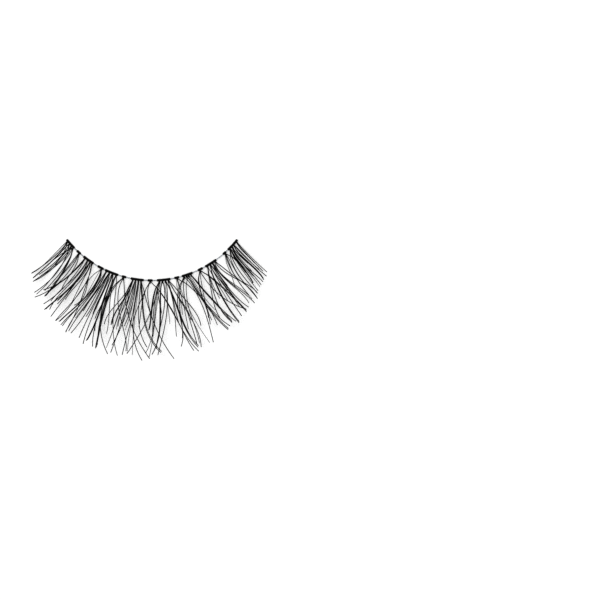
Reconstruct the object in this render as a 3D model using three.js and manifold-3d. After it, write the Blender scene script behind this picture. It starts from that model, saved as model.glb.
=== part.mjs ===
// A false eyelash strip, lying on a surface with its hairs curled up and away from it.
// Millimetres, +Z up. The clear band thread is bowed, its middle towards -Y, and the hairs fan
// out from it towards -Y. The origin is on the surface, under the middle of the whole strip.
import * as THREE from "three";
import { mergeVertices } from "three/addons/utils/BufferGeometryUtils.js";
import Module from "manifold-3d";

const wasm = await Module();
wasm.setup();

// The band. Its glue line is the back edge of the knots, which is set on the lid.
const BAND_LENGTH = 30; // along the glue line
const BAND_BOW_RADIUS = 16.85; // plan radius of the glue line
const THREAD_RADIUS = 0.1; // clear nylon monofilament
const KNOT_CLEARANCE = 0.02; // between the thread and the row of knots drawn over it
const KNOT_WALL = 0.05; // hair, lacquer and glue round the thread
const BEAD_RADIUS = 0.15; // the knot that closes a bunch, in front of the thread
const BEAD_NECK_RADIUS = 0.09; // of the bunch where it leaves that knot
const BEAD_REACH = 0.6; // how far the knot stands out in plan from the glue line

// The hairs. Each one leaves its knot, comes to the layer of its tuft, and then curls up.
const LONGEST_REACH = 12.68; // plan reach of the longest hair from the glue line
const HAIR_RADIUS = 0.064; // a three-sided hair of this radius holds what a 0.1 mm round one does
const HAIR_TIP_SHARE = 0.45; // of that radius, at the tip
const SPREAD_REACH = 0.9; // plan distance from the thread in which a hair comes to its layer
const CURL_REACH = 4; // plan distance from the thread where the curl starts
const CURL_RADIUS = 8; // of the upward curl past that distance
const LAYER_SPACING = 0.25; // between the layers of neighbouring tufts, whose hairs cross
const STAGGER_HEIGHT = 0.03; // between hairs that lie side by side in one tuft

// Facets.
const THREAD_SIDES = 6;
const THREAD_STEP = 0.8;
const BAR_SIDES = 8;
const BAR_STEP = 0.8;
const BEAD_SIDES = 5;
const HAIR_SIDES = 3;
const LONGEST_HAIR_STEPS = 5.3; // shorter hairs have their share of these, rounded
const HAIR_STEP_POWER = 1.5; // over 1, the steps near the root are the short ones

const SLEEVE_RADIUS = THREAD_RADIUS + KNOT_CLEARANCE + KNOT_WALL;
const BORE_RADIUS = THREAD_RADIUS + KNOT_CLEARANCE;
const HALF_BAND_ANGLE = BAND_LENGTH / 2 / BAND_BOW_RADIUS;

// The tufts along the thread, from one end to the other: eight long rows of knots with a short
// one between each two. Places along the band are percent of half its length from the middle.
// A row of hairs holds its place at the thread, at one third, at two thirds and at all of its
// reach, then its reach in percent of LONGEST_REACH, and how many hairs lie together in it.
// level counts the layers from the surface up, so that crossing tufts pass over each other.
const TUFTS = [
  {
    name: "long_tuft_1",
    level: 0,
    from: -99.6,
    to: -88.5,
    beads: [-98.2, -95, -92, -89.6],
    // root, third, twoThirds, tip, reach, fullness
    hairs: [
      [-98.6, -97.5, -96.3, -97.3, 61, 1],
      [-98, -96.6, -95.9, -97, 60, 1],
      [-97.6, -95.3, -94.8, -94.4, 63, 0.7],
      [-96, -94.4, -94, -94, 63, 1],
      [-94.2, -92, -91.8, -93.2, 55, 1],
      [-93, -91.2, -91, -92.3, 66, 1],
      [-91.5, -89.8, -89.6, -92.2, 65, 1],
      [-91, -88.6, -89.8, -92, 62, 1],
      [-89.6, -86, -84.7, -86.6, 74, 1],
      [-89.4, -83, -80.1, -79.4, 69, 2],
      [-89, -84.2, -82.8, -82, 64, 1],
    ],
  },
  {
    name: "short_tuft_1",
    level: 1,
    from: -85,
    to: -79.8,
    beads: [-81.2],
    hairs: [
      [-81.2, -80.1, -80, -80.6, 46, 0.7],
      [-81, -77.8, -79, -84, 78, 1],
      [-80.6, -76, -75, -73.2, 50, 0.7],
    ],
  },
  {
    name: "long_tuft_2",
    level: 2,
    from: -76,
    to: -63.3,
    beads: [-73.5, -70, -67, -64.5],
    hairs: [
      [-73.6, -74.4, -77, -82.8, 64, 2],
      [-73.3, -74.2, -77.5, -79.4, 69, 1],
      [-73, -71.8, -73.1, -76.7, 77, 1],
      [-70.8, -70.2, -72.8, -74.2, 69, 1],
      [-70.4, -70.2, -72.1, -71.5, 78, 1],
      [-68.5, -67.5, -70.8, -74.3, 82, 2],
      [-67.6, -67.4, -68.8, -70.4, 62, 1],
      [-66.8, -67.4, -68.2, -68.2, 84, 1],
      [-66, -64.4, -65.9, -66.6, 57, 1],
      [-64.4, -60, -60.9, -64, 85, 1],
      [-64.2, -58, -55.6, -55.5, 90, 1],
      [-64.8, -63.8, -62.7, -61.5, 55, 0.7],
    ],
  },
  {
    name: "short_tuft_2",
    level: 3,
    from: -58.3,
    to: -51.5,
    beads: [-53.5],
    hairs: [
      [-54, -59.8, -60.8, -64, 85, 0.7],
      [-53.4, -52.6, -57.3, -62, 84, 2],
      [-52.8, -51.7, -55.9, -59.9, 86, 1],
    ],
  },
  {
    name: "long_tuft_3",
    level: 0,
    from: -49.8,
    to: -35.3,
    beads: [-48, -44.4, -40.8, -37.2],
    hairs: [
      [-48.6, -51.2, -55.8, -58.8, 86, 1],
      [-48.3, -51, -55.2, -55.5, 91, 1],
      [-48, -48.8, -51.5, -54.2, 70, 1],
      [-47.7, -49, -52.4, -54, 88, 1],
      [-44.6, -46.2, -49, -51, 58, 2],
      [-45.2, -46.4, -49, -52, 89, 1],
      [-44.8, -45.6, -46.1, -46.2, 90, 1],
      [-43.9, -43.6, -43.7, -42.5, 95, 1],
      [-41.5, -40.5, -39.9, -36.6, 94, 1],
      [-41, -40.6, -40.1, -41.2, 90, 2],
      [-40.6, -38.7, -40.3, -41.4, 61, 1],
      [-40.3, -40.4, -36.6, -26.7, 97.5, 1],
      [-37.2, -36.6, -37, -34.7, 95, 2],
      [-38, -38.2, -37.3, -34, 90, 1],
      [-36.4, -31.6, -27.8, -20.7, 97, 0.7],
      [-37, -36.5, -32.9, -30.6, 74, 0.7],
    ],
  },
  {
    name: "short_tuft_3",
    level: 1,
    from: -31.3,
    to: -26.8,
    beads: [-29.3],
    hairs: [
      [-30, -36.8, -37, -34.8, 92, 1],
      [-29.8, -36, -37.3, -36.8, 66, 1],
      [-29.3, -29.2, -22, -15.8, 90, 1],
      [-28.7, -20.9, -11.8, -1.3, 97, 1],
    ],
  },
  {
    name: "long_tuft_4",
    level: 2,
    from: -22,
    to: -8.5,
    beads: [-19.7, -16.8, -13.9, -11.2],
    hairs: [
      [-19.8, -24.6, -31.3, -34, 63.5, 1],
      [-19.6, -22.3, -29, -29.9, 67, 2],
      [-19.9, -24.5, -26.5, -28, 86, 0.7],
      [-17.2, -20, -23.3, -24.9, 95, 1],
      [-17.4, -18.6, -21.4, -25.2, 86, 1],
      [-16.6, -15.9, -17.2, -19.8, 60, 1],
      [-13.8, -14.4, -16.4, -17.9, 95, 1],
      [-13.6, -14.3, -13, -5.8, 99.5, 1],
      [-11, -3.3, 3.7, 13.1, 98.5, 1],
      [-11.2, -8.1, -4.1, 5.8, 90, 2],
      [-11.6, -11, -9.5, -3.2, 83, 1],
    ],
  },
  {
    name: "short_tuft_4",
    level: 3,
    from: -4.5,
    to: 0.6,
    beads: [-1.9],
    hairs: [
      [-2, -8, -12.4, -14.2, 60, 1],
      [-2.1, -3.8, -1.5, -2.1, 62, 1],
      [-2.2, -6.5, -8.8, -9.4, 59, 0.7],
      [-1.3, 13.7, 20.6, 25.8, 93, 1],
      [-1.1, 13.4, 20.9, 28.5, 95, 1],
    ],
  },
  {
    name: "long_tuft_5",
    level: 0,
    from: 5,
    to: 19,
    beads: [7.6, 10.6, 13.6, 16.6],
    hairs: [
      [7, 1, -7, -15.2, 93, 1],
      [7.2, 1.5, -0.5, -2.1, 62, 2],
      [9, 4.5, 2, 0.4, 70, 1],
      [8.4, 6.5, 5.6, 0.3, 92, 2],
      [11, 10.8, 6.3, 2.8, 85, 1],
      [13.5, 12.6, 8.6, 3.7, 92.5, 1],
      [14.2, 17.6, 17.5, 16.5, 72, 0.7],
      [13.6, 19.9, 23.4, 29.3, 90, 2],
      [14, 19, 22.1, 25.4, 76, 1],
      [16.6, 24.1, 30.1, 30.7, 91, 1],
      [17.3, 25.5, 32.5, 34.4, 66, 1],
    ],
  },
  {
    name: "short_tuft_5",
    level: 1,
    from: 23,
    to: 28,
    beads: [25.6],
    hairs: [
      [25.4, 25.9, 25.8, 25.4, 66, 0.7],
      [26.3, 39.3, 45.7, 52.4, 79.5, 1],
    ],
  },
  {
    name: "long_tuft_6",
    level: 2,
    from: 31,
    to: 42,
    beads: [33, 35.4, 37.8, 40.2],
    hairs: [
      [33, 22.5, 21.6, 18.6, 85, 1],
      [33.4, 24, 21.9, 20.3, 75, 1],
      [33.2, 28.5, 28, 28.6, 85.5, 1],
      [37.3, 30.6, 30.1, 30.4, 86, 0.7],
      [33.6, 39.2, 39.9, 38.8, 90, 1],
      [36.5, 40.6, 45, 50.5, 83, 2],
      [37.6, 41.2, 44.2, 45.1, 72, 0.7],
      [40, 46.2, 51.5, 54.8, 77, 2],
      [40.3, 46.4, 51.9, 56.8, 78, 1],
    ],
  },
  {
    name: "short_tuft_6",
    level: 3,
    from: 48.5,
    to: 54,
    beads: [50.5],
    hairs: [
      [50, 43.4, 42.5, 41, 68, 1],
      [50.2, 46, 43.2, 42.8, 64, 0.7],
      [50.9, 59, 63.9, 66.6, 74.8, 2],
      [50.6, 52.8, 57.6, 67, 72, 1],
    ],
  },
  {
    name: "long_tuft_7",
    level: 0,
    from: 57,
    to: 71,
    beads: [58.9, 62.2, 65, 68.4],
    hairs: [
      [58.6, 53, 48.9, 48.6, 65, 1],
      [59, 54, 51.6, 54.6, 76, 1],
      [61.8, 57.9, 57.2, 58.9, 81.5, 2],
      [62.3, 61.2, 61.5, 62.2, 76, 1],
      [62.8, 64, 64.6, 65.3, 35, 1],
      [64.7, 64.6, 64.8, 69.2, 71.5, 1],
      [64.5, 64.4, 65, 66, 68, 0.7],
      [63.5, 63.3, 63.9, 64.2, 65, 0.7],
      [65.8, 67, 71.6, 74, 74, 1],
      [66, 67.5, 72.3, 74.5, 66, 0.7],
      [68.1, 71, 77.2, 80, 65, 1],
      [69, 73.5, 77.3, 77.5, 70, 1],
    ],
  },
  {
    name: "short_tuft_7",
    level: 1,
    from: 78.5,
    to: 83.2,
    beads: [81.3],
    hairs: [
      [81, 77.3, 74.5, 74.4, 60, 1],
      [81.6, 78.9, 77.4, 77.5, 70, 1],
      [81.5, 85, 84.6, 82.8, 51.5, 1],
    ],
  },
  {
    name: "long_tuft_8",
    level: 2,
    from: 86,
    to: 99.6,
    beads: [88, 91, 93.6, 97.8],
    hairs: [
      [87.7, 81.6, 80.3, 80, 64.5, 1],
      [88.2, 84.2, 82.3, 81.4, 63, 0.7],
      [88.5, 85.6, 84.3, 82.6, 52, 2],
      [90.2, 87.6, 86.7, 85.8, 60.5, 1],
      [90.7, 87, 87.5, 88.3, 59, 1],
      [93, 91, 91.1, 90, 58, 2],
      [93.3, 91.3, 92.9, 93.4, 57.5, 1],
      [97.8, 95.8, 94.7, 93.9, 50, 1],
      [98, 96.7, 95.8, 95.5, 54.5, 0.7],
    ],
  },
];

const hairMaterial = new THREE.MeshStandardMaterial({
  color: 0x100f0f,
  roughness: 0.45,
  metalness: 0,
});
const threadMaterial = new THREE.MeshStandardMaterial({
  color: 0xd5d7d9,
  roughness: 0.2,
  metalness: 0,
});

// A point of the fan: so far along the band in percent, so far out from the glue line in plan,
// and so far up.
function fanPoint(along, out, height) {
  const angle = (along / 100) * HALF_BAND_ANGLE;
  const radius = BAND_BOW_RADIUS + out;
  return new THREE.Vector3(
    radius * Math.sin(angle),
    BAND_BOW_RADIUS - radius * Math.cos(angle),
    height,
  );
}

// A rod of any number of sides, bent along a path and tapered from one radius to another.
function bentRod(path, radiusAt, sides, steps, turn = 0) {
  const rod = new THREE.CylinderGeometry(1, 1, 1, sides, steps, false, turn);
  rod.deleteAttribute("normal");
  rod.deleteAttribute("uv");
  const geometry = mergeVertices(rod);
  const position = geometry.getAttribute("position");
  const vertex = new THREE.Vector3();
  const upward = new THREE.Vector3(0, 0, 1);
  const nearby = 1e-3;
  for (let i = 0; i < position.count; i++) {
    vertex.fromBufferAttribute(position, i);
    const share = vertex.y + 0.5;
    const radius = radiusAt(share);
    const forward = path(share + nearby).sub(path(share - nearby)).normalize();
    const side = forward.clone().cross(upward).normalize();
    const up = side.clone().cross(forward);
    const point = path(share)
      .addScaledVector(side, vertex.x * radius)
      .addScaledVector(up, vertex.z * radius);
    position.setXYZ(i, point.x, point.y, point.z);
  }
  return geometry;
}

// A rod along the thread between two places on the band. Its radius is measured to its flats.
function bandRod(from, to, radius, sides, stepLength, turn) {
  const length = ((to - from) / 200) * BAND_LENGTH;
  const steps = Math.max(1, Math.round(length / stepLength));
  const path = (share) => fanPoint(from + share * (to - from), SLEEVE_RADIUS, SLEEVE_RADIUS);
  return bentRod(path, () => radius / Math.cos(Math.PI / sides), sides, steps, turn);
}

// A curve through four values, at shares 0, 1/3, 2/3 and 1.
function throughFour(share, a, b, c, d) {
  const p = 3 * share;
  return (
    (a * (1 - p) * (2 - p) * (3 - p)) / 6 +
    (b * p * (2 - p) * (3 - p)) / 2 -
    (c * p * (1 - p) * (3 - p)) / 2 +
    (d * p * (1 - p) * (2 - p)) / 6
  );
}

// How high a hair lies at a distance out from the thread: out of its knot to its own layer,
// and further out up along its curl.
function hairHeight(out, layer) {
  const before = Math.max(0, 1 - out / SPREAD_REACH);
  const past = Math.max(0, out - CURL_REACH);
  return layer + (SLEEVE_RADIUS - layer) * before ** 2 + past ** 2 / (2 * CURL_RADIUS);
}

// A lock of one or more hairs. Those of the lowest layer touch the surface.
function hairLock(row, index, level) {
  const [root, third, twoThirds, tip, reach, fullness] = row;
  const length = (reach / 100) * LONGEST_REACH;
  const radius = HAIR_RADIUS * Math.sqrt(fullness);
  const lowest = radius * Math.cos(Math.PI / HAIR_SIDES);
  const layer = lowest + LAYER_SPACING * level + STAGGER_HEIGHT * (index % 3);
  const start = SLEEVE_RADIUS / length;
  const path = (share) => {
    const reached = start + (1 - start) * Math.max(0, share) ** HAIR_STEP_POWER;
    const out = reached * length;
    const along = throughFour(reached, root, third, twoThirds, tip);
    return fanPoint(along, out, hairHeight(out - SLEEVE_RADIUS, layer));
  };
  const radiusAt = (share) => radius * (1 - (1 - HAIR_TIP_SHARE) * share ** 2);
  const steps = Math.max(2, Math.round((reach / 100) * LONGEST_HAIR_STEPS));
  return bentRod(path, radiusAt, HAIR_SIDES, steps);
}

// The knot that closes a bunch, narrowing to the neck of the bunch in front of it.
function bead(along) {
  const path = (share) =>
    fanPoint(along, SLEEVE_RADIUS + share * (BEAD_REACH - SLEEVE_RADIUS), SLEEVE_RADIUS);
  const radiusAt = (share) => BEAD_RADIUS + share * (BEAD_NECK_RADIUS - BEAD_RADIUS);
  return bentRod(path, radiusAt, BEAD_SIDES, 1);
}

function toSolid(geometry) {
  return new wasm.Manifold(
    new wasm.Mesh({
      numProp: 3,
      vertProperties: geometry.getAttribute("position").array,
      triVerts: new Uint32Array(geometry.index.array),
    }),
  );
}

function toGeometry(solid) {
  const mesh = solid.getMesh();
  return new THREE.BufferGeometry()
    .setAttribute("position", new THREE.BufferAttribute(mesh.vertProperties, 3))
    .setIndex(new THREE.BufferAttribute(mesh.triVerts, 1));
}

// A tuft: a row of knots round the thread with its locks of hair, bored through for the thread.
function tuft({ name, level, from, to, beads, hairs }) {
  const flatsLevel = Math.PI / BAR_SIDES;
  let solid = toSolid(bandRod(from, to, SLEEVE_RADIUS, BAR_SIDES, BAR_STEP, flatsLevel));
  for (const along of beads) solid = solid.add(toSolid(bead(along)));
  hairs.forEach((row, index) => {
    solid = solid.add(toSolid(hairLock(row, index, level)));
  });
  const past = 1;
  const bore = bandRod(from - past, to + past, BORE_RADIUS, THREAD_SIDES, THREAD_STEP, 0);
  const mesh = new THREE.Mesh(toGeometry(solid.subtract(toSolid(bore))), hairMaterial);
  mesh.name = name;
  return mesh;
}

function bandThread() {
  const geometry = bandRod(-100, 100, THREAD_RADIUS, THREAD_SIDES, THREAD_STEP, 0);
  const mesh = new THREE.Mesh(geometry, threadMaterial);
  mesh.name = "band_thread";
  return mesh;
}

const strip = new THREE.Group();
strip.name = "false_eyelash_strip";
strip.add(bandThread());
for (const row of TUFTS) strip.add(tuft(row));

// The strip stands on its lowest point, centred over the origin.
const box = new THREE.Box3().setFromObject(strip);
const middle = box.getCenter(new THREE.Vector3());
strip.position.set(-middle.x, -middle.y, -box.min.z);

export default strip;
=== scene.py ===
import math

import bpy
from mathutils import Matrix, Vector


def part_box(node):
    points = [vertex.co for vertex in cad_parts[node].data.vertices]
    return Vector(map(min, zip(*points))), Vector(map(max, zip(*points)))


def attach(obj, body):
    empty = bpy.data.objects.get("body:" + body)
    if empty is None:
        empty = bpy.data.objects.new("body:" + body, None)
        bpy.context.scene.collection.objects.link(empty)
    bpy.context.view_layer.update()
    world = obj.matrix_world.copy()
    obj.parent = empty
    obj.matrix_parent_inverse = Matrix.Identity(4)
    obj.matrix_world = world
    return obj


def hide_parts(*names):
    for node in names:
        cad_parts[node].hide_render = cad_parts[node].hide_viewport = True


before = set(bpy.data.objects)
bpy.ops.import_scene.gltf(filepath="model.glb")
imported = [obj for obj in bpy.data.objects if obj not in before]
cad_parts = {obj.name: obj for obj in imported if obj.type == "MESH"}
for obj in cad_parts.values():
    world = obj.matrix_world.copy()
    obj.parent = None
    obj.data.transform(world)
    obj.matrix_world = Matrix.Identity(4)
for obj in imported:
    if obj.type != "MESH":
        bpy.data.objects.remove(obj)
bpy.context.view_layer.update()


# The band thread: one clear nylon monofilament that was set in a bow with heat. All the knots
# are wound on it, and between them it shows as a thin glassy line.
MM = 0.001
BAND_LENGTH = 30 * MM  # along the glue line, which is the back edge of the knots
BOW_RADIUS = 16.85 * MM  # plan radius of the glue line
HALF_BAND_ANGLE = BAND_LENGTH / 2 / BOW_RADIUS
THREAD_RADIUS = 0.1 * MM
KNOT_RADIUS = 0.17 * MM  # from the middle of the thread to the outside of the windings on it
THREAD_STEPS = 120
THREAD_SIDES = 14
MERGE_DISTANCE = 0.0001 * MM  # nearer points are one
SMOOTH_ANGLE = math.radians(50)  # a sharper edge, such as a cut tip's, stays an edge

thread_low, thread_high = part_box("band_thread")
thread_height = (thread_low[2] + thread_high[2]) / 2
bow_centre_x = (thread_low[0] + thread_high[0]) / 2
bow_centre_y = thread_low[1] + BOW_RADIUS + KNOT_RADIUS + THREAD_RADIUS


def fan_point(along, out, height):
    """A point so many percent along half the band, so far out from the glue line, so far up."""
    angle = along / 100 * HALF_BAND_ANGLE
    radius = BOW_RADIUS + out
    return Vector((
        bow_centre_x + radius * math.sin(angle),
        bow_centre_y - radius * math.cos(angle),
        height,
    ))


def bent_rods(name, rods, sides):
    """One mesh of round closed rods, each a list of points with the radius at each of them."""
    bpy.ops.object.select_all(action="DESELECT")
    bpy.ops.curve.primitive_nurbs_path_add(location=(0, 0, 0))
    piece = bpy.context.object
    piece.name = name
    curve = piece.data
    curve.dimensions = "3D"
    curve.splines.clear()
    for rod in rods:
        spline = curve.splines.new("POLY")
        spline.points.add(len(rod) - 1)
        for point, (centre, radius) in zip(spline.points, rod):
            point.co = (*centre, 1)
            point.radius = radius
    curve.fill_mode = "FULL"
    curve.bevel_depth = 1  # so that a point's radius is in metres
    curve.bevel_resolution = sides // 2 - 2  # which gives that many sides
    curve.use_fill_caps = True
    bpy.ops.object.convert(target="MESH")
    bpy.ops.object.mode_set(mode="EDIT")
    bpy.ops.mesh.select_all(action="SELECT")
    bpy.ops.mesh.remove_doubles(threshold=MERGE_DISTANCE)
    bpy.ops.mesh.normals_make_consistent(inside=False)
    bpy.ops.object.mode_set(mode="OBJECT")
    bpy.ops.object.shade_smooth_by_angle(angle=SMOOTH_ANGLE)
    return piece


def linear(colour):
    """An sRGB hex colour as the linear colour that a shader takes."""
    shares = [int(colour[i:i + 2], 16) / 255 for i in (1, 3, 5)]
    return (*[s / 12.92 if s <= 0.04045 else ((s + 0.055) / 1.055) ** 2.4 for s in shares], 1)


def add_node(material, kind, settings=None, inputs=None):
    """Adds a node with its settings, and its inputs as values or as links."""
    node = material.node_tree.nodes.new(kind)
    for setting, value in (settings or {}).items():
        setattr(node, setting, value)
    for socket, value in (inputs or {}).items():
        if isinstance(value, bpy.types.NodeSocket):
            material.node_tree.links.new(value, node.inputs[socket])
        else:
            node.inputs[socket].default_value = value
    return node


def new_material(name):
    """A material with no nodes yet."""
    material = bpy.data.materials.new(name)
    material.use_nodes = True
    material.node_tree.nodes.clear()
    return material


# Nylon is drawn through a round die, so it is smooth and clear, with a faint milky cast and
# shallow waves along it where it was drawn, a few to the millimetre.
DRAW_WAVE = 0.4 * MM  # from one shallow wave to the next
nylon = new_material("clear drawn nylon")
nylon_place = add_node(nylon, "ShaderNodeTexCoord").outputs["Object"]
waves = add_node(nylon, "ShaderNodeTexNoise", inputs={
    "Vector": nylon_place,
    "Scale": 1 / DRAW_WAVE,
    "Detail": 2.0,
})
cast = add_node(nylon, "ShaderNodeMix", {"data_type": "RGBA"}, {
    "Factor": waves.outputs["Fac"],
    "A": linear("#cfd3d6"),
    "B": linear("#e6e9eb"),
})
drawn = add_node(nylon, "ShaderNodeBump", inputs={
    "Height": waves.outputs["Fac"],
    "Strength": 0.15,
    "Distance": 0.01 * MM,
})
shader = add_node(nylon, "ShaderNodeBsdfPrincipled", inputs={
    "Base Color": cast.outputs[2],
    "Roughness": 0.16,
    "IOR": 1.53,
    "Transmission Weight": 0.7,
    "Normal": drawn.outputs["Normal"],
})
add_node(nylon, "ShaderNodeOutputMaterial", inputs={"Surface": shader.outputs["BSDF"]})

thread_rod = [
    (fan_point(-100 + 200 * i / THREAD_STEPS, KNOT_RADIUS, thread_height), THREAD_RADIUS)
    for i in range(THREAD_STEPS + 1)
]
band_thread = bent_rods("clear_band_thread", [thread_rod], THREAD_SIDES)
band_thread.data.materials.append(nylon)
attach(band_thread, "root")
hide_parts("band_thread")


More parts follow.
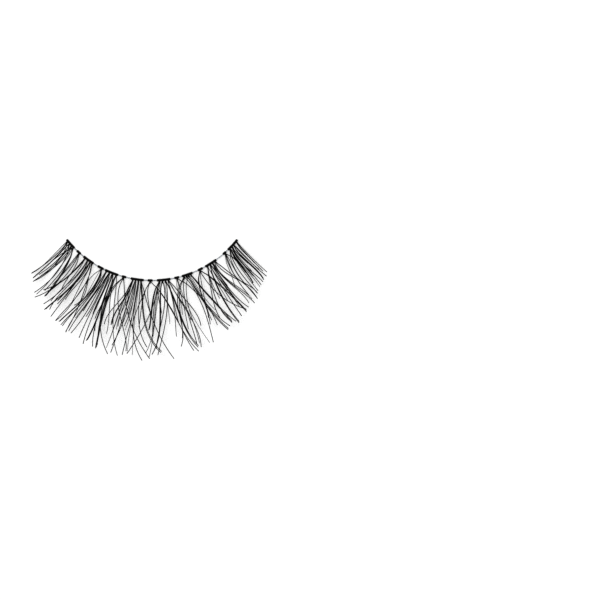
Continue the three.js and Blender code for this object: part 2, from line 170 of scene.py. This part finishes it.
# The tufts: bunches of black synthetic hair, knotted on the thread in long and short rows by
# turns. Each bunch closes with a knot in front of the thread, and its hairs fan out from it.
TUFTS = [
    {
        # places are in percent of half the band, from its middle
        # level counts the layers that the hairs of crossing tufts lie in, from the surface up
        "name": "long_tuft_1", "level": 0, "from": -100.4, "to": -88.5,
        "knots": [-98.2, -95, -92, -89.6],
        # of each hair: its place at the thread and at one third, two thirds and all of its reach,
        # its reach in percent of the longest hair's, and its fullness, which is 2 for two hairs
        # that lie together and under 1 for a finer hair
        # their order counts: they lie in the upper and the lower half of their layer by turns
        "hairs": [
            (-98.6, -97.5, -96.3, -97.3, 61, 0.6),
            (-97.6, -96, -96, -97.4, 60, 1),
            (-97.6, -94.8, -94.2, -94.2, 63, 0.7),
            (-96, -94.4, -94, -94, 63, 1),
            (-94.2, -92, -91.8, -93.2, 55, 1),
            (-97.4, -91.4, -90.7, -92.3, 66, 1),
            (-91.5, -89.8, -89.6, -92.2, 65, 1),
            (-91, -88.6, -89.8, -92, 62, 1),
            (-94.8, -86.3, -84.4, -86.3, 74, 1),
            (-89, -82.8, -80, -79.4, 69, 2),
            (-89, -83.8, -82.1, -82.1, 64, 1),
            (-90, -92.6, -94, -94, 42, 1),
            (-89.2, -86.3, -84.4, -84.5, 74, 0.8),
            (-92.2, -91.9, -91.2, -90, 32, 1),
        ],
    },
    {
        "name": "short_tuft_1", "level": 1, "from": -85, "to": -79.8,
        "knots": [-81.2],
        "hairs": [
            (-81.2, -80.1, -80, -80.6, 46, 0.7),
            (-81, -77.8, -78.7, -84, 78, 1),
            (-81, -76.2, -74.9, -73.2, 50, 1),
            (-82, -81.2, -80.6, -79.9, 45, 1),
            (-82.3, -81, -80.5, -80.7, 52, 0.7),
        ],
    },
    {
        "name": "long_tuft_2", "level": 2, "from": -76, "to": -63.3,
        "knots": [-73.5, -70, -67, -64.5],
        "hairs": [
            (-73.6, -74.4, -77, -82.8, 64, 2),
            (-73.3, -74.2, -77.5, -79.4, 69, 1),
            (-73, -71.8, -73.1, -76.7, 77, 1),
            (-70.8, -70.2, -72.8, -74.2, 69, 1),
            (-70.4, -69.7, -71.8, -71.4, 78, 1),
            (-69.6, -67.6, -70.4, -73.8, 82, 2),
            (-67.6, -67.4, -68.8, -70.4, 62, 1),
            (-66.8, -67.2, -67.7, -68.1, 84, 1),
            (-66, -64.4, -65.9, -66.6, 57, 1),
            (-64.4, -60, -61.6, -64.2, 85, 1),
            (-64.2, -58.7, -55.6, -55.3, 90, 1),
            (-64.8, -63.8, -62.7, -61.5, 55, 0.7),
            (-67, -67.6, -68, -69.4, 67, 1),
            (-67.4, -66.2, -68.5, -70.6, 64, 1),
            (-63.6, -60.3, -56.3, -58.8, 57, 1),
        ],
    },
    {
        "name": "short_tuft_2", "level": 3, "from": -58.3, "to": -51.5,
        "knots": [-53.5],
        "hairs": [
            (-54, -59.8, -61.1, -64, 85, 0.7),
            (-53.4, -52.6, -57, -61.8, 84, 2),
            (-52.8, -51.7, -55.9, -59.9, 86, 1),
            (-54.2, -54.4, -54.5, -54.5, 42, 0.4),
            (-52.8, -50.6, -50.2, -51.2, 34, 0.8),
        ],
    },
    {
        "name": "long_tuft_3", "level": 0, "from": -49.8, "to": -35.3,
        "knots": [-48, -44.4, -40.8, -37.2],
        "hairs": [
            (-48.6, -51.2, -55.8, -58.8, 86, 1),
            (-48.3, -51, -54.4, -55, 91, 1),
            (-48, -48.8, -51.3, -53.8, 70, 0.7),
            (-47.7, -49, -52.1, -53.8, 88, 1),
            (-44.6, -47, -49.8, -51.2, 58, 1),
            (-45.2, -47.5, -49, -52, 89, 1),
            (-44.8, -45.3, -46.1, -46.2, 90, 1),
            (-43.9, -43.6, -43.7, -42.5, 95, 1),
            (-41.5, -40.5, -39.9, -36.6, 94, 1),
            (-41, -40.6, -40.1, -41.2, 90, 2),
            (-40.6, -38.7, -40.3, -41.4, 61, 1),
            (-40.3, -40.4, -36.6, -26.7, 97.5, 1),
            (-37.2, -37.7, -36.4, -34.4, 95, 2),
            (-38, -38.9, -37.6, -34.2, 90, 1),
            (-36.4, -31.6, -27.4, -20.7, 97, 0.7),
            (-37, -36.5, -32.9, -30.6, 74, 0.7),
            (-45, -46, -46.4, -47.8, 63, 1),
            (-43.7, -43.4, -44.1, -44, 57, 1),
            (-40.2, -39, -40.3, -38.5, 75, 1),
            (-42.4, -42.6, -43.2, -43.5, 50, 1),
        ],
    },
    {
        "name": "short_tuft_3", "level": 1, "from": -31.3, "to": -26.8,
        "knots": [-29.3],
        "hairs": [
            (-30, -38.2, -37, -34.8, 92, 1),
            (-29.8, -36, -37.3, -36.8, 66, 1),
            (-29.3, -29.2, -21.2, -16, 90, 1),
            (-28.9, -22.1, -12.7, -1.3, 97, 1),
        ],
    },
    {
        "name": "long_tuft_4", "level": 2, "from": -22, "to": -8.5,
        "knots": [-19.7, -16.8, -13.9, -11.2],
        "hairs": [
            (-19.8, -24.2, -31.2, -33.8, 63.5, 1),
            (-19.6, -22.3, -27.4, -28.9, 62, 2),
            (-19.9, -24.5, -26.5, -28, 86, 0.7),
            (-17.2, -20.6, -22.9, -25, 95, 1),
            (-17.4, -18.6, -21.4, -25.2, 86, 1),
            (-16.6, -15.9, -17.2, -19.8, 60, 1),
            (-13.8, -14.4, -16.4, -17.9, 95, 1),
            (-13.6, -14.3, -13, -5.8, 99.5, 1),
            (-11, -3.3, 4.4, 13.2, 98.5, 1),
            (-11.2, -8.1, -4.1, 5.8, 90, 2),
            (-11.6, -11, -9.5, -3.2, 83, 1),
            (-19.7, -24, -26.4, -28.3, 91, 0.4),
            (-17.5, -19.8, -23.8, -24.6, 66, 0.6),
            (-16, -16, -16.8, -18.7, 65, 0.4),
            (-14.2, -14.8, -15.4, -15.2, 90, 0.4),
            (-12.8, -13.2, -12.8, -11.9, 94, 0.4),
            (-19.6, -21.6, -23.8, -24.2, 62, 0.7),
            (-19.5, -20.8, -21.2, -22.9, 70, 0.7),
            (-16.8, -16.6, -17.6, -18.4, 45, 1),
            (-11.3, -10.6, -9.4, -8.2, 30, 1),
        ],
    },
    {
        "name": "short_tuft_4", "level": 3, "from": -4.5, "to": 0.6,
        "knots": [-1.9],
        "hairs": [
            (-2, -8, -12.4, -14.2, 60, 1),
            (-2.1, -3.8, -1.5, -2.1, 62, 1),
            (-2.2, -7.2, -8.8, -9.4, 59, 1),
            (-1.3, 13.7, 20.6, 25.8, 93, 1),
            (-1.1, 13.4, 20.9, 28.5, 95, 1),
        ],
    },
    {
        "name": "long_tuft_5", "level": 0, "from": 5, "to": 19,
        "knots": [7.6, 10.6, 13.6, 16.6],
        "hairs": [
            (7.2, 1.5, -0.5, -2.1, 62, 2),
            (7, 1, -7, -15.2, 93, 1),
            (8, 2.9, 0.9, 0.4, 70, 1),
            (9.9, 6.9, 5.5, 0.3, 92, 2),
            (11, 10.8, 6.3, 2.8, 85, 1),
            (14.2, 12.9, 8.6, 3.7, 92.5, 1),
            (14.2, 17.6, 17.5, 16.5, 72, 0.7),
            (13.6, 19.6, 23.1, 29, 90, 2),
            (14, 19, 22.1, 25.4, 76, 1),
            (16.6, 24.1, 30.1, 30.7, 91, 1),
            (17.3, 25.5, 32.5, 34.4, 66, 1),
            (8, 3.2, 1, -3.7, 90, 0.6),
            (9, 4, 1.2, -1.6, 95, 0.6),
            (12.5, 12.8, 13.1, 13, 56, 0.4),
            (7.4, 5.2, 6.3, 7.4, 42, 0.8),
            (15.5, 17.8, 18.7, 19.7, 58, 0.8),
            (17, 21.2, 26.6, 28.6, 56, 1),
        ],
    },
    {
        "name": "short_tuft_5", "level": 1, "from": 23, "to": 28,
        "knots": [25.6],
        "hairs": [
            (25.4, 25.9, 25.8, 25.4, 66, 0.7),
            (26.3, 39.3, 45.7, 52.4, 79.5, 1),
            (26, 28, 31.8, 36.5, 89, 0.4),
            (25, 23.8, 24, 23.4, 47, 0.4),
        ],
    },
    {
        "name": "long_tuft_6", "level": 2, "from": 31, "to": 42.6,
        "knots": [33, 35.4, 37.8, 40.2],
        "hairs": [
            (33, 21.9, 21.4, 18.6, 85, 1),
            (33.4, 24, 21.9, 20.3, 75, 1),
            (33.2, 28.1, 27.9, 28.6, 85.5, 1),
            (37.3, 30.1, 29.9, 30.3, 86, 0.7),
            (33.6, 39.4, 40.1, 38.7, 90, 1),
            (36.5, 40.6, 45, 50.5, 83, 2),
            (37.6, 41.2, 44.2, 45.1, 72, 0.7),
            (40, 45.7, 51.1, 54.7, 77, 2),
            (40.3, 46.1, 51.4, 57.2, 78, 1),
            (38.8, 41.5, 44.2, 48, 54, 0.4),
        ],
    },
    {
        "name": "short_tuft_6", "level": 3, "from": 48.5, "to": 54,
        "knots": [50.5],
        "hairs": [
            (50, 43.6, 42.4, 40.8, 68, 1),
            (50.2, 46, 43.2, 42.8, 64, 0.7),
            (50.9, 59, 63.9, 66.6, 74.8, 2),
            (49.9, 52.6, 58.2, 67.2, 72, 1),
            (49.8, 43.6, 42.6, 41.2, 60, 0.8),
        ],
    },
    {
        "name": "long_tuft_7", "level": 0, "from": 57, "to": 70.3,
        "knots": [58.9, 62.2, 65, 68.4],
        "hairs": [
            (58.8, 53.6, 49.4, 48.6, 65, 1),
            (59, 54, 51.6, 54.6, 76, 1),
            (61.8, 57.9, 57.1, 58.7, 81.5, 2),
            (62.3, 61.2, 61.5, 62.2, 76, 1),
            (62.8, 64, 64.6, 65.3, 35, 1),
            (64.7, 64.6, 65.7, 69.2, 71.5, 1),
            (64.5, 64.2, 64.6, 66, 68, 0.7),
            (63.5, 63.3, 63.9, 64.2, 65, 0.7),
            (66.8, 67, 71.2, 74.2, 72, 1),
            (66.6, 67, 71.6, 74.5, 66, 0.7),
            (68.1, 70.6, 77, 80, 65, 1),
            (68.8, 73, 77.1, 77.5, 70, 1),
            (58.8, 56, 54.9, 54.7, 44, 0.5),
            (59.2, 59.1, 59.3, 59.3, 51, 0.5),
            (65.7, 66.2, 69.8, 71.1, 68, 0.7),
            (61.9, 62.1, 63.6, 64.2, 55, 1),
            (62.1, 61.8, 62.6, 63.3, 40, 0.8),
        ],
    },
    {
        "name": "short_tuft_7", "level": 1, "from": 79.2, "to": 83.2,
        "knots": [81.3],
        "hairs": [
            (81, 76.4, 74.5, 74.4, 60, 1),
            (81.6, 80, 78, 77.5, 42, 0.7),
            (81.2, 78.8, 76, 75.4, 36, 0.8),
            (81.5, 85, 84.6, 82.8, 51.5, 1),
            (80.5, 76, 73, 69.5, 42, 0.5),
            (81.9, 84.2, 84.4, 83.6, 36, 0.8),
        ],
    },
    {
        "name": "long_tuft_8", "level": 2, "from": 86, "to": 100.3,
        "knots": [88, 91, 93.6, 97.8],
        "hairs": [
            (87.7, 81.6, 80, 79.9, 64.5, 1),
            (87.4, 79.1, 77.4, 77.6, 68, 1),
            (88.2, 84.2, 82.3, 81.4, 63, 0.7),
            (88.5, 85.6, 84.3, 82.6, 52, 2),
            (90.2, 87.6, 86.7, 85.8, 60.5, 1),
            (90.7, 87, 87.5, 88.3, 59, 1),
            (93, 91, 91.1, 90, 58, 2),
            (94.2, 93.2, 92.6, 93, 57.5, 1),
            (97.8, 95.8, 94.7, 93.9, 50, 1),
            (98.2, 96.6, 95.7, 95.4, 54.5, 0.7),
            (89, 86, 85.3, 84.2, 61, 0.6),
            (91, 88.9, 88.3, 88, 40, 0.6),
            (97.3, 95.4, 94.9, 94.2, 36, 1),
            (90.8, 90.2, 90.2, 90.4, 30, 1),
            (93.6, 92.9, 92.6, 92.9, 45, 1),
            (89.3, 87.8, 86.6, 86.2, 46, 0.8),
        ],
    },
]


# The knots of a tuft: each hair's root is wound round the thread, and a dip in black lacquer
# joins the windings into a ribbed row, with a lump where each bunch is drawn tight.
WINDING_WIDTH = 0.16 * MM  # of one turn of a bunch along the thread
WINDING_DEPTH = 0.022 * MM  # of the groove between two turns
LACQUER_THICKNESS = 0.02 * MM
GROOVE_POWER = 0.6  # under 1, so a groove is narrower than the turns beside it
WINDING_STEPS = 6  # points along one turn
ROW_END = 0.1 * MM  # length over which a row's end rounds off
END_WALL = 0.05  # share of the wall on the thread that is left at the row's very end
KNOT_SIDES = 12
KNOT_LENGTH = 0.5 * MM  # of a drawn knot, out from the thread
KNOT_SHAPE = [  # share of that length, radius
    (0, 0.11 * MM),
    (0.12, 0.135 * MM),
    (0.3, 0.145 * MM),
    (0.5, 0.13 * MM),
    (0.7, 0.105 * MM),
    (0.88, 0.085 * MM),
    (1, 0.06 * MM),
]
STRAND_RADIUS = 0.04 * MM
STRAND_TAPER = 0.25  # share of that radius that is lost on the way to the knot
STRAND_REACH = 0.75 * MM  # from the glue line to where a strand has joined its bunch
STRAND_SPREAD = 1.1  # percent along the band, between a strand's place at the row and its knot
STRAND_MARGIN = 0.3  # percent along the band, between a strand and the end of its row
STRAND_STEPS = 8


def winding_row(start, end):
    """The row of windings round the thread between two places on the band."""
    length = (end - start) / 200 * BAND_LENGTH
    turns = round(length / WINDING_WIDTH)
    steps = turns * WINDING_STEPS
    rod = []
    for i in range(steps + 1):
        share = i / steps
        crest = abs(math.sin(math.pi * share * turns)) ** GROOVE_POWER
        groove = WINDING_DEPTH * (1 - crest)
        to_end = min(share, 1 - share) * length
        rounding = math.sqrt(1 - max(0, 1 - to_end / ROW_END) ** 2)
        wall = KNOT_RADIUS + LACQUER_THICKNESS - THREAD_RADIUS - groove
        radius = THREAD_RADIUS + wall * max(rounding, END_WALL)
        rod.append((fan_point(start + share * (end - start), KNOT_RADIUS, thread_height), radius))
    return rod


def drawn_knot(along):
    """The lump in front of the thread in which a bunch is drawn tight."""
    return [
        (fan_point(along, KNOT_RADIUS + share * KNOT_LENGTH, thread_height), radius)
        for share, radius in KNOT_SHAPE
    ]


def root_strand(start, along):
    """A strand that leaves the row of windings beside its bunch and sweeps into it."""
    rod = []
    for i in range(STRAND_STEPS + 1):
        share = i / STRAND_STEPS
        swept = start + (along - start) * (1 - (1 - share) ** 2)
        out = KNOT_RADIUS + share * (STRAND_REACH - KNOT_RADIUS)
        radius = STRAND_RADIUS * (1 - STRAND_TAPER * share)
        rod.append((fan_point(swept, out, thread_height), radius))
    return rod


# Cellulose lacquer over black hair dries as a glossy skin that sinks a little between the
# windings, so the knots are the blackest and shiniest part of the strip.
LACQUER_RIPPLE = 0.12 * MM  # a little less than the width of a turn
lacquer = new_material("black lacquer over wound hair")
lacquer_place = add_node(lacquer, "ShaderNodeTexCoord").outputs["Object"]
ripple = add_node(lacquer, "ShaderNodeTexNoise", inputs={
    "Vector": lacquer_place,
    "Scale": 1 / LACQUER_RIPPLE,
    "Detail": 3.0,
})
lacquer_tone = add_node(lacquer, "ShaderNodeMix", {"data_type": "RGBA"}, {
    "Factor": ripple.outputs["Fac"],
    "A": linear("#050505"),
    "B": linear("#100f0f"),
})
gloss = add_node(lacquer, "ShaderNodeMapRange", inputs={
    "Value": ripple.outputs["Fac"],
    "To Min": 0.2,
    "To Max": 0.38,
})
skin = add_node(lacquer, "ShaderNodeBump", inputs={
    "Height": ripple.outputs["Fac"],
    "Strength": 0.4,
    "Distance": 0.012 * MM,
})
shader = add_node(lacquer, "ShaderNodeBsdfPrincipled", inputs={
    "Base Color": lacquer_tone.outputs[2],
    "Roughness": gloss.outputs["Result"],
    "IOR": 1.48,
    "Specular IOR Level": 0.3,
    "Normal": skin.outputs["Normal"],
})
add_node(lacquer, "ShaderNodeOutputMaterial", inputs={"Surface": shader.outputs["BSDF"]})

for tuft in TUFTS:
    rods = [winding_row(tuft["from"], tuft["to"])]
    for along in tuft["knots"]:
        rods.append(drawn_knot(along))
        for side in (-1, 1):
            start = along + side * STRAND_SPREAD
            if tuft["from"] + STRAND_MARGIN < start < tuft["to"] - STRAND_MARGIN:
                rods.append(root_strand(start, along))
    knots = bent_rods(tuft["name"] + "_knots", rods, KNOT_SIDES)
    for vertex in knots.data.vertices:
        vertex.co.z = max(vertex.co.z, 0)  # the lacquer dried on a flat tray
    knots.data.materials.append(lacquer)
    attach(knots, "root")
    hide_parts(tuft["name"])


# The hairs of a tuft: polyester hairs of one thickness from end to end, cut to length and then
# curled round a rod with heat. Each leaves its knot, comes to the layer of its tuft and curls up.
LONGEST_REACH = 12.68 * MM  # plan reach from the glue line
HAIR_RADIUS = 0.056 * MM
HAIR_SIDES = 8
TIP_ROUNDING = 0.3  # share of a hair's radius that is left at its very end
LOWEST_HEIGHT = 0.032 * MM  # with half a hair's radius added, of its middle in the lowest layer
SPREAD_REACH = 0.9 * MM  # plan distance from the thread in which a hair comes to its layer
CURL_REACH = 4 * MM  # plan distance from the thread where the curl starts
CURL_RADIUS = 8 * MM
LAYER_SPACING = 0.25 * MM
HALF_LAYER = 0.12 * MM  # between neighbouring hairs of one tuft, which cross as well
HAIR_STEPS = 30
STEP_GROWTH = 1.2  # over 1, so the steps are short near the knot, where a hair bends most
TWIN_GAP = 0.11 * MM  # between two hairs that lie together, from middle to middle
TWIN_SHORTENING = 1.5  # percent of the longest reach that the second of two hairs lacks
HOLD_REACH = 1.5 * MM  # plan distance from the thread in which a hair still keeps to its bunch
HOLD_WIDTH = 0.35  # of a hair's own distance from its knot, where the knot draws it in


def through_four(share, a, b, c, d):
    """A curve through four values, at shares 0, 1/3, 2/3 and 1."""
    p = 3 * share
    return (
        a * (1 - p) * (2 - p) * (3 - p) / 6
        + b * p * (2 - p) * (3 - p) / 2
        - c * p * (1 - p) * (3 - p) / 2
        + d * p * (1 - p) * (2 - p) / 6
    )


def single_hair(tuft, index, aside=0, shortening=0):
    """A hair as a rod. aside sets it beside its own path, and shortening takes from its reach."""
    root, third, two_thirds, tip, reach, fullness = tuft["hairs"][index]
    length = (reach - shortening) / 100 * LONGEST_REACH
    radius = HAIR_RADIUS * math.sqrt(min(fullness, 1))
    half = (index + 1) % 2  # 1 in the upper half of the layer
    layer = LOWEST_HEIGHT + radius / 2 + LAYER_SPACING * tuft["level"] + HALF_LAYER * half
    first = KNOT_RADIUS / length
    knot = min(tuft["knots"], key=lambda along: abs(along - root))
    drawn_in = knot + HOLD_WIDTH * (root - knot)
    rod = []
    for i in range(HAIR_STEPS + 1):
        share = i / HAIR_STEPS
        reached = first + (1 - first) * share ** STEP_GROWTH
        out = reached * length
        past_thread = out - KNOT_RADIUS
        sunk = max(0, 1 - past_thread / SPREAD_REACH)
        curled = max(0, past_thread - CURL_REACH)
        height = layer + (thread_height - layer) * sunk ** 2 + curled ** 2 / (2 * CURL_RADIUS)
        along = through_four(reached, root, third, two_thirds, tip)
        held = max(0, 1 - past_thread / HOLD_REACH) ** 2
        along += (drawn_in - along) * held
        parted = min(1, 3 * reached)  # two hairs part over the first third of their reach
        along += aside * parted / (BOW_RADIUS + out) / HALF_BAND_ANGLE * 100
        rod.append((fan_point(along, out, height), radius))
    before, end = rod[-2][0], rod[-1][0]
    rod.append((end + (end - before).normalized() * radius, radius * TIP_ROUNDING))
    return rod


# Polyester hair is spun through round holes. It is jet black and satin, with faint streaks
# along it, and bunches of it differ a little in tone.
BUNCH_TONE = 0.6 * MM  # about the width of a bunch beside its knot
STREAK = 0.05 * MM  # half a hair's width; real streaks are finer and wouldn't show
hair = new_material("black spun polyester hair")
hair_place = add_node(hair, "ShaderNodeTexCoord").outputs["Object"]
bunches = add_node(hair, "ShaderNodeTexNoise", inputs={
    "Vector": hair_place,
    "Scale": 1 / BUNCH_TONE,
    "Detail": 1.0,
})
streaks = add_node(hair, "ShaderNodeTexNoise", inputs={
    "Vector": hair_place,
    "Scale": 1 / STREAK,
    "Detail": 2.0,
})
hair_tone = add_node(hair, "ShaderNodeMix", {"data_type": "RGBA"}, {
    "Factor": bunches.outputs["Fac"],
    "A": linear("#080707"),
    "B": linear("#171515"),
})
satin = add_node(hair, "ShaderNodeMapRange", inputs={
    "Value": streaks.outputs["Fac"],
    "To Min": 0.36,
    "To Max": 0.52,
})
grain = add_node(hair, "ShaderNodeBump", inputs={
    "Height": streaks.outputs["Fac"],
    "Strength": 0.25,
    "Distance": 0.004 * MM,
})
shader = add_node(hair, "ShaderNodeBsdfPrincipled", inputs={
    "Base Color": hair_tone.outputs[2],
    "Roughness": satin.outputs["Result"],
    "IOR": 1.56,
    "Specular IOR Level": 0.25,
    "Normal": grain.outputs["Normal"],
})
add_node(hair, "ShaderNodeOutputMaterial", inputs={"Surface": shader.outputs["BSDF"]})

for tuft in TUFTS:
    rods = []
    for index, row in enumerate(tuft["hairs"]):
        if row[-1] == 2:  # two hairs that lie together
            rods.append(single_hair(tuft, index, -TWIN_GAP / 2))
            rods.append(single_hair(tuft, index, TWIN_GAP / 2, TWIN_SHORTENING))
        else:
            rods.append(single_hair(tuft, index))
    hairs = bent_rods(tuft["name"] + "_hairs", rods, HAIR_SIDES)
    hairs.data.materials.append(hair)
    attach(hairs, "root")
    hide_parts(tuft["name"])


# The stage: a plain pale light table under soft studio light from all round, with a large soft
# lamp over it to one side. It glows a little, so the strip throws hardly a shadow on it, and it
# isn't part of the object.
FLOOR_SIZE = 3  # metres
FLOOR_DEPTH = 0.01 * MM  # below the strip, so that the two don't share a plane
TABLE_GLOW = 0.45
STUDIO_LIGHT = 0.5
PICTURE_GAMMA = 0.68  # under 1, so black hairs stand out on the pale table as in the photo
LAMP_PLACE = Vector((-0.25, 0.2, 0.6))
LAMP_SIZE = 0.5  # metres
LAMP_POWER = 1.2  # watts

bpy.ops.object.select_all(action="DESELECT")
bpy.ops.mesh.primitive_plane_add(size=FLOOR_SIZE, location=(0, 0, -FLOOR_DEPTH))
floor = bpy.context.object
floor.name = "pale_floor"
opal = new_material("matt opal acrylic, lit from below")
shader = add_node(opal, "ShaderNodeBsdfPrincipled", inputs={
    "Base Color": linear("#f7f7f7"),
    "Roughness": 0.9,
    "Specular IOR Level": 0.2,
    "Emission Color": linear("#ffffff"),
    "Emission Strength": TABLE_GLOW,
})
add_node(opal, "ShaderNodeOutputMaterial", inputs={"Surface": shader.outputs["BSDF"]})
floor.data.materials.append(opal)

world = bpy.data.worlds.new("soft studio")
world.use_nodes = True
world.node_tree.nodes["Background"].inputs["Color"].default_value = (1, 1, 1, 1)
world.node_tree.nodes["Background"].inputs["Strength"].default_value = STUDIO_LIGHT
bpy.context.scene.world = world
bpy.context.scene.view_settings.view_transform = "Standard"
bpy.context.scene.view_settings.gamma = PICTURE_GAMMA

bpy.ops.object.light_add(type="AREA", location=LAMP_PLACE)
lamp = bpy.context.object
lamp.name = "soft_lamp"
lamp.data.size = LAMP_SIZE
lamp.data.energy = LAMP_POWER
lamp.rotation_euler = (-LAMP_PLACE).to_track_quat("-Z", "Y").to_euler()


# The camera looks straight down from high up through a very long lens, so the curled tips stay
# where they are in a flat view. The strip lies left of the middle of the picture.
PICTURE_WIDTH = 93.26 * MM  # what the picture takes in at the strip
CAMERA_LENS = 1000  # in millimetres, as is the sensor's width
SENSOR_WIDTH = 36
CAMERA_SIGHT = 10  # metres, well past the table
CAMERA_PLACE = Vector((23.433 * MM, -0.012 * MM, PICTURE_WIDTH * CAMERA_LENS / SENSOR_WIDTH))
bpy.ops.object.camera_add(location=CAMERA_PLACE, rotation=(0, 0, 0))
camera = bpy.context.object
camera.data.lens = CAMERA_LENS
camera.data.sensor_width = SENSOR_WIDTH
camera.data.clip_end = CAMERA_SIGHT
bpy.context.scene.camera = camera
